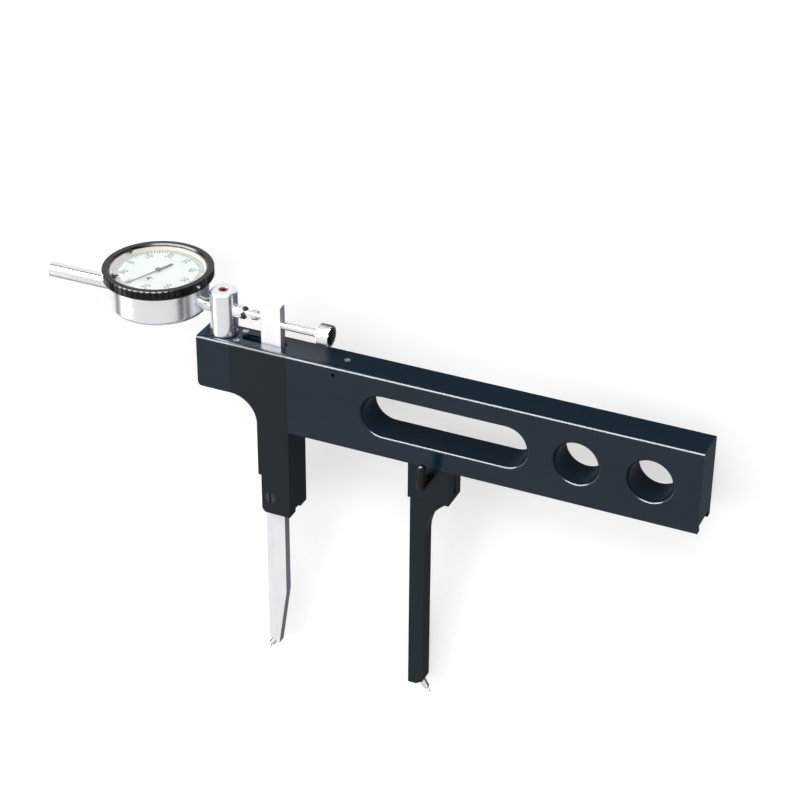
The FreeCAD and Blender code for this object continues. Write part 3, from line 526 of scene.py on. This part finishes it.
class GAUGE_OT_counter_print(bpy.types.Operator):
    """Print the ring of the turn counter on the fixed middle of the dial"""
    bl_idname = "gauge.counter_print"
    bl_label = "Counter print"

    def execute(self, context):
        ring = printed_line(COUNTER_RADIUS, COUNTER_WIDTH, 72)
        centre = local(JOINTS["counter_turn"]["pos_m"])
        dial = local(dial_matrix().translation)
        set_down(ring, at(centre.x, centre.y, dial.z))
        finished(ring, "counter_graduations", "base", finish_of("ink"))
        return {"FINISHED"}


class GAUGE_OT_pointer(bpy.types.Operator):
    """Cut the pointer: a fine needle, a short broad tail and a turned hub"""
    bl_idname = "gauge.pointer"
    bl_label = "Pointer"

    def execute(self, context):
        points = node_points("pointer")
        centre = local(JOINTS["pointer_turn"]["pos_m"])
        tip = max(points, key=lambda p: math.hypot(p.x - centre.x, p.y - centre.y))
        top = max(p.z for p in points)
        reach = math.hypot(tip.x - centre.x, tip.y - centre.y)
        pieces = [tapered_bar(0.0, reach, *NEEDLE_WIDTHS), tapered_bar(-TAIL_LENGTH, 0.0, *TAIL_WIDTHS)]
        bpy.ops.mesh.primitive_cylinder_add(vertices=48, radius=HUB_RADIUS * MM, depth=HUB_HEIGHT * MM,
                                            location=(0, 0, HUB_HEIGHT / 2 * MM))
        hub = bevelled(bpy.context.object, 0.25, 3)
        work = joined([*pieces, hub])
        bpy.ops.object.transform_apply(location=True, rotation=True, scale=True)
        turn = Matrix.Rotation(math.atan2(tip.y - centre.y, tip.x - centre.x), 4, "Z")
        set_down(work, at(centre.x, centre.y, top - HUB_HEIGHT) @ turn)
        finished(work, "needle", "pointer_body", finish_of("hand_black"),
                 replaced=["pointer"])
        return {"FINISHED"}


def tapered_bar(start, end, start_width, end_width):
    """A flat bar along X whose width changes from one end to the other."""
    bar = block(((start + end) / 2, 0, HAND_THICKNESS / 2), (end - start, start_width, HAND_THICKNESS))
    choose(bar)
    bpy.ops.object.transform_apply(location=True, rotation=True, scale=True)
    edit(bar, lambda face: face.normal.x > 0.9)
    bpy.ops.transform.resize(value=(1.0, end_width / start_width, 1.0))
    leave_edit()
    return bevelled(bar, 0.05, 1)


class GAUGE_OT_spacer(bpy.types.Operator):
    """Turn the cream spacer ring between the dial and the crystal"""
    bl_idname = "gauge.spacer"
    bl_label = "Spacer ring"

    def execute(self, context):
        dial = local(dial_matrix().translation)
        crystal = min(point.z for point in node_points("crystal"))
        height = crystal - dial.z - SPACER_GAP
        bpy.ops.mesh.primitive_circle_add(vertices=120, radius=SPACER_RADIUS * MM, location=(0, 0, 0))
        ring = bpy.context.object
        edit(ring, lambda edge: True, "EDGE")
        radius = SPACER_RADIUS
        section = ((24.0, 0.0), (24.05, 0.3), (24.5, height - 0.3), (SPACER_RADIUS, 0.0),
                   (SPACER_RADIUS, -height))
        for reached, rise in section:
            bpy.ops.mesh.extrude_region_move(TRANSFORM_OT_translate={"value": (0, 0, rise * MM)})
            factor = reached / radius
            bpy.ops.transform.resize(value=(factor, factor, 1.0))
            radius = reached
        bpy.ops.mesh.select_all(action="SELECT")
        bpy.ops.mesh.remove_doubles(threshold=0.00001)
        bpy.ops.mesh.normals_make_consistent(inside=False)
        leave_edit()
        set_down(ring, dial_matrix() @ Matrix.Translation((0, 0, SPACER_LIFT * MM)))
        finished(ring, "spacer_ring", "bezel_body", finish_of("spacer"))
        return {"FINISHED"}


# ---- knurls --------------------------------------------------------------------------------------
LAID_ALONG = Matrix.Rotation(math.radians(90.0), 4, "Y")    # from upright to along the beam
SLEEVE_WALL = 0.12


class GAUGE_OT_knob(bpy.types.Operator):
    """Cut the knob's diamond knurl"""
    bl_idname = "gauge.knob"
    bl_label = "Knurled knob"

    def execute(self, context):
        points = node_points("knob")
        start, end = min(p.x for p in points), max(p.x for p in points)
        seat = node_points("push_rod")
        axis_z = (min(p.z for p in seat) + max(p.z for p in seat)) / 2
        knob = knurled_drum(radius=max(math.hypot(p.y, p.z - axis_z) for p in points),
                            width=end - start, pitch=0.9, depth=0.28, rim=0.35)
        set_down(knob, at(start, 0, axis_z) @ LAID_ALONG)
        finished(knob, "knurled_knob", "lever_body", finish_of("satin_chrome"), 20.0,
                 ["knob"])
        return {"FINISHED"}


class GAUGE_OT_contact_sleeve(bpy.types.Operator):
    """Knurl the grip of the indicator's contact point"""
    bl_idname = "gauge.contact_sleeve"
    bl_label = "Knurled contact sleeve"

    def execute(self, context):
        points = node_points("contact_point")
        wide = max(abs(p.y) for p in points)
        grip = [p for p in points if abs(p.y) > wide - 0.1]
        start, end = min(p.x for p in grip), max(p.x for p in grip)
        axis_z = (max(p.z for p in grip) + min(p.z for p in grip)) / 2
        sleeve = knurled_drum(radius=wide + SLEEVE_WALL, width=end - start, pitch=0.62,
                              depth=0.14, rim=0.1)
        set_down(sleeve, at(start, 0, axis_z) @ LAID_ALONG)
        finished(sleeve, "contact_sleeve", "plunger_body",
                 finish_of("polished_steel"), 20.0)
        return {"FINISHED"}


def knurled_drum(radius, width, pitch, depth, rim):
    """A drum about Z whose side carries crossed diagonal grooves, in metres from millimetres."""
    around = int(round(2 * math.pi * radius / pitch))
    rows = max(2, int(round((width - 2 * rim) / pitch)) * 2)
    bpy.ops.mesh.primitive_cylinder_add(vertices=around * 2, radius=radius * MM, depth=width * MM,
                                        end_fill_type="NGON", location=(0, 0, width / 2 * MM))
    drum = bpy.context.object
    bpy.ops.object.transform_apply(location=True, rotation=False, scale=False)
    for step in range(rows + 1):
        height = rim + (width - 2 * rim) * step / rows
        edit(drum, lambda face: True)
        bpy.ops.mesh.bisect(plane_co=(0, 0, height * MM), plane_no=(0, 0, 1))
        leave_edit()
    for vertex in drum.data.vertices:
        reach = math.hypot(vertex.co.x, vertex.co.y)
        level = (vertex.co.z / MM - rim) / (width - 2 * rim) * rows
        if level < -0.01 or level > rows + 0.01:
            factor = (radius - rim * 0.8) / radius
        else:
            turn = math.atan2(vertex.co.y, vertex.co.x) / (2 * math.pi) * around * 2
            peak = (int(round(level)) + int(round(turn))) % 2 == 0
            factor = 1.0 if peak else (radius - depth) / radius
        vertex.co.x *= factor
        vertex.co.y *= factor
    return drum


# ---- studio --------------------------------------------------------------------------------------
SEEN = ("Is Camera Ray", "Is Glossy Ray", "Is Transmission Ray")
SKY_LIGHT = 0.55                   # what the white sky gives as light; it shows as 1
PAPER, PAPER_LIFT = 0.62, 0.55     # the floor's own tone, and what is added where it is seen
FLOOR_SIZE, FLOOR_DROP = 8.0, 0.0002
WALL_REACH, WALL_WIDTH, WALL_HEIGHT = 2.0, 4.0, 0.5


def glowing(name, value, strength):
    """An even glow, for what metal and lacquer mirror."""
    material, tree = new_material(name)
    finish_tree(tree, add_node(tree, "ShaderNodeEmission", Color=rgba(value), Strength=strength))
    return material


def floor_material():
    """Matt white paper: pale, and it keeps the shadow; it shows white to the eye and in metal."""
    material, tree = new_material("white_paper_floor")
    paper = add_node(tree, "ShaderNodeBsdfDiffuse", Color=rgba((PAPER, PAPER, PAPER)))
    lift = add_node(tree, "ShaderNodeMath", {"operation": "MULTIPLY"}, _0=any_ray(tree, *SEEN),
                    _1=PAPER_LIFT)
    glow = add_node(tree, "ShaderNodeEmission", Color=(1, 1, 1, 1), Strength=lift.outputs[0])
    both = add_node(tree, "ShaderNodeAddShader", _0=paper.outputs[0], _1=glow.outputs[0])
    finish_tree(tree, both)
    return material


def white_to_the_eye(tree, strength):
    """A world that lights softly and shows plain white to the eye, in metal and through glass."""
    level = add_node(tree, "ShaderNodeMapRange", Value=any_ray(tree, *SEEN), To_Min=strength,
                     To_Max=1.0)
    background = tree.nodes["Background"]
    background.inputs["Color"].default_value = (1, 1, 1, 1)
    tree.links.new(level.outputs["Result"], background.inputs["Strength"])


def facing(centre, toward, axis):
    """The turn that points an axis from one place toward another."""
    return (Vector(toward) - Vector(centre)).to_track_quat(axis, "Y").to_matrix().to_4x4()


def card(name, centre, turn, width, height, material):
    """A card that only mirrors: the camera, shadows and soft light pass it."""
    bpy.ops.mesh.primitive_plane_add(size=1.0)
    obj = set_down(bpy.context.object,
                   Matrix.Translation(centre) @ turn @ Matrix.Diagonal((width, height, 1, 1)))
    obj.name = name
    obj.data.materials.append(material)
    obj.visible_camera = obj.visible_shadow = obj.visible_diffuse = obj.visible_transmission = False
    obj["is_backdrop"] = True


def floor_card(name, along, up, floor_z, material):
    """A card on the floor beside the beam, between limits along the beam and up the post."""
    corners = [place(x, 0, z) for x in along for z in up]
    low = Vector((min(c.x for c in corners), min(c.y for c in corners), floor_z))
    high = Vector((max(c.x for c in corners), max(c.y for c in corners), floor_z))
    card(name, (low + high) / 2, Matrix(), high.x - low.x, high.y - low.y, material)


def soft_light(name, centre, toward, width, height, power):
    """A soft box that lights one place."""
    data = bpy.data.lights.new(name, "AREA")
    data.shape = "RECTANGLE"
    data.size, data.size_y, data.energy = width, height, power
    lamp = bpy.data.objects.new(name, data)
    bpy.context.scene.collection.objects.link(lamp)
    lamp.matrix_world = Matrix.Translation(centre) @ facing(centre, toward, "-Z")


class GAUGE_OT_studio(bpy.types.Operator):
    """Set up the pale floor, the soft light and the camera"""
    bl_idname = "gauge.studio"
    bl_label = "Studio"

    def execute(self, context):
        low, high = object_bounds()
        middle = (low + high) / 2
        bpy.ops.mesh.primitive_plane_add(size=FLOOR_SIZE,
                                         location=(middle.x, middle.y, low.z - FLOOR_DROP))
        floor = bpy.context.object
        bpy.ops.object.transform_apply(location=True, rotation=False, scale=False)
        floor.name = "floor"
        floor.data.materials.append(floor_material())
        floor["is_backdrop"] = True

        world = bpy.data.worlds.new("studio")
        context.scene.world = world
        world.use_nodes = True
        white_to_the_eye(world.node_tree, SKY_LIGHT)

        soft_light("back_soft_box", middle + Vector((0, 1.3, 0.9)), middle, 2.4, 0.8, 15.0)
        soft_light("left_soft_box", middle + Vector((-1.4, -0.3, 1.0)), middle, 1.2, 0.8, 9.0)
        strip = glowing("strip_light", (1, 1, 1), 42.0)
        spot = middle + Vector((-0.45, 1.1, 1.0))
        card("edge_strip", spot, facing(spot, middle, "Z"), 2.6, 0.9, strip)
        dark = glowing("black_wall", srgb("050607"), 1.0)
        centre = Vector((middle.x, middle.y, WALL_HEIGHT / 2))
        for name, x, y in (("back_wall", 0, WALL_REACH), ("front_wall", 0, -WALL_REACH),
                           ("left_wall", -WALL_REACH, 0), ("right_wall", WALL_REACH, 0)):
            spot = centre + Vector((x, y, 0))
            card(name, spot, facing(spot, centre, "Z"), WALL_WIDTH, WALL_HEIGHT, dark)
        grey = glowing("blue_grey_card", srgb("666d74"), 1.0)
        floor_card("near_card", (-60, 280), (-170, 66), low.z, grey)
        floor_card("far_card", (0, 320), (66, 420), low.z, grey)

        context.scene.camera = camera_at(context.scene.gauge_studio)
        context.scene.view_settings.view_transform = "Standard"
        return {"FINISHED"}


def camera_at(studio):
    """A camera from its turn, height, roll and distance about the point it looks at."""
    azimuth, elevation = math.radians(studio.azimuth), math.radians(studio.elevation)
    ahead = Vector((-math.sin(azimuth) * math.cos(elevation), math.cos(azimuth) * math.cos(elevation),
                    -math.sin(elevation)))
    right = ahead.cross(Vector((0, 0, 1))).normalized()
    above = right.cross(ahead)
    turn = Matrix((right, above, -ahead)).transposed().to_4x4()
    roll = Matrix.Rotation(math.radians(studio.roll), 4, "Z")
    spot = Vector(studio.aim) - ahead * studio.distance
    data = bpy.data.cameras.new("camera")
    data.lens, data.sensor_width = studio.lens, 36.0    # mm
    data.clip_start, data.clip_end = 0.05, 20.0
    camera = bpy.data.objects.new("camera", data)
    bpy.context.scene.collection.objects.link(camera)
    camera.matrix_world = GAUGE @ Matrix.Translation(spot * MM) @ turn @ roll
    return camera


# ---- panel and registration ----------------------------------------------------------------------
OPERATORS = (GAUGE_OT_finishes, GAUGE_OT_dial_print, GAUGE_OT_counter_print, GAUGE_OT_pointer,
             GAUGE_OT_spacer, GAUGE_OT_knob, GAUGE_OT_contact_sleeve, GAUGE_OT_studio)
GROUPS = {"gauge_finishes": GAUGE_PG_finishes, "gauge_dial": GAUGE_PG_dial,
          "gauge_studio": GAUGE_PG_studio}


class GAUGE_PT_panel(bpy.types.Panel):
    """Lists the steps and settings of the gauge"""
    bl_idname = "GAUGE_PT_panel"
    bl_label = "Dial Bore Gauge"
    bl_space_type = "VIEW_3D"
    bl_region_type = "UI"
    bl_category = "Bore Gauge"

    def draw(self, context):
        for operator in OPERATORS:
            self.layout.operator(operator.bl_idname)
        for group in GROUPS:
            settings = getattr(context.scene, group)
            for name in settings.__annotations__:
                self.layout.prop(settings, name)


def register():
    for cls in (*GROUPS.values(), *OPERATORS, GAUGE_PT_panel):
        bpy.utils.register_class(cls)
    for name, group in GROUPS.items():
        setattr(bpy.types.Scene, name, PointerProperty(type=group))


def unregister():
    for name in GROUPS:
        delattr(bpy.types.Scene, name)
    for cls in (GAUGE_PT_panel, *reversed(OPERATORS), *reversed(GROUPS.values())):
        bpy.utils.unregister_class(cls)


def main():
    register()
    for operator in OPERATORS:
        group, name = operator.bl_idname.split(".")
        getattr(getattr(bpy.ops, group), name)()


if __name__ == "__main__":
    main()
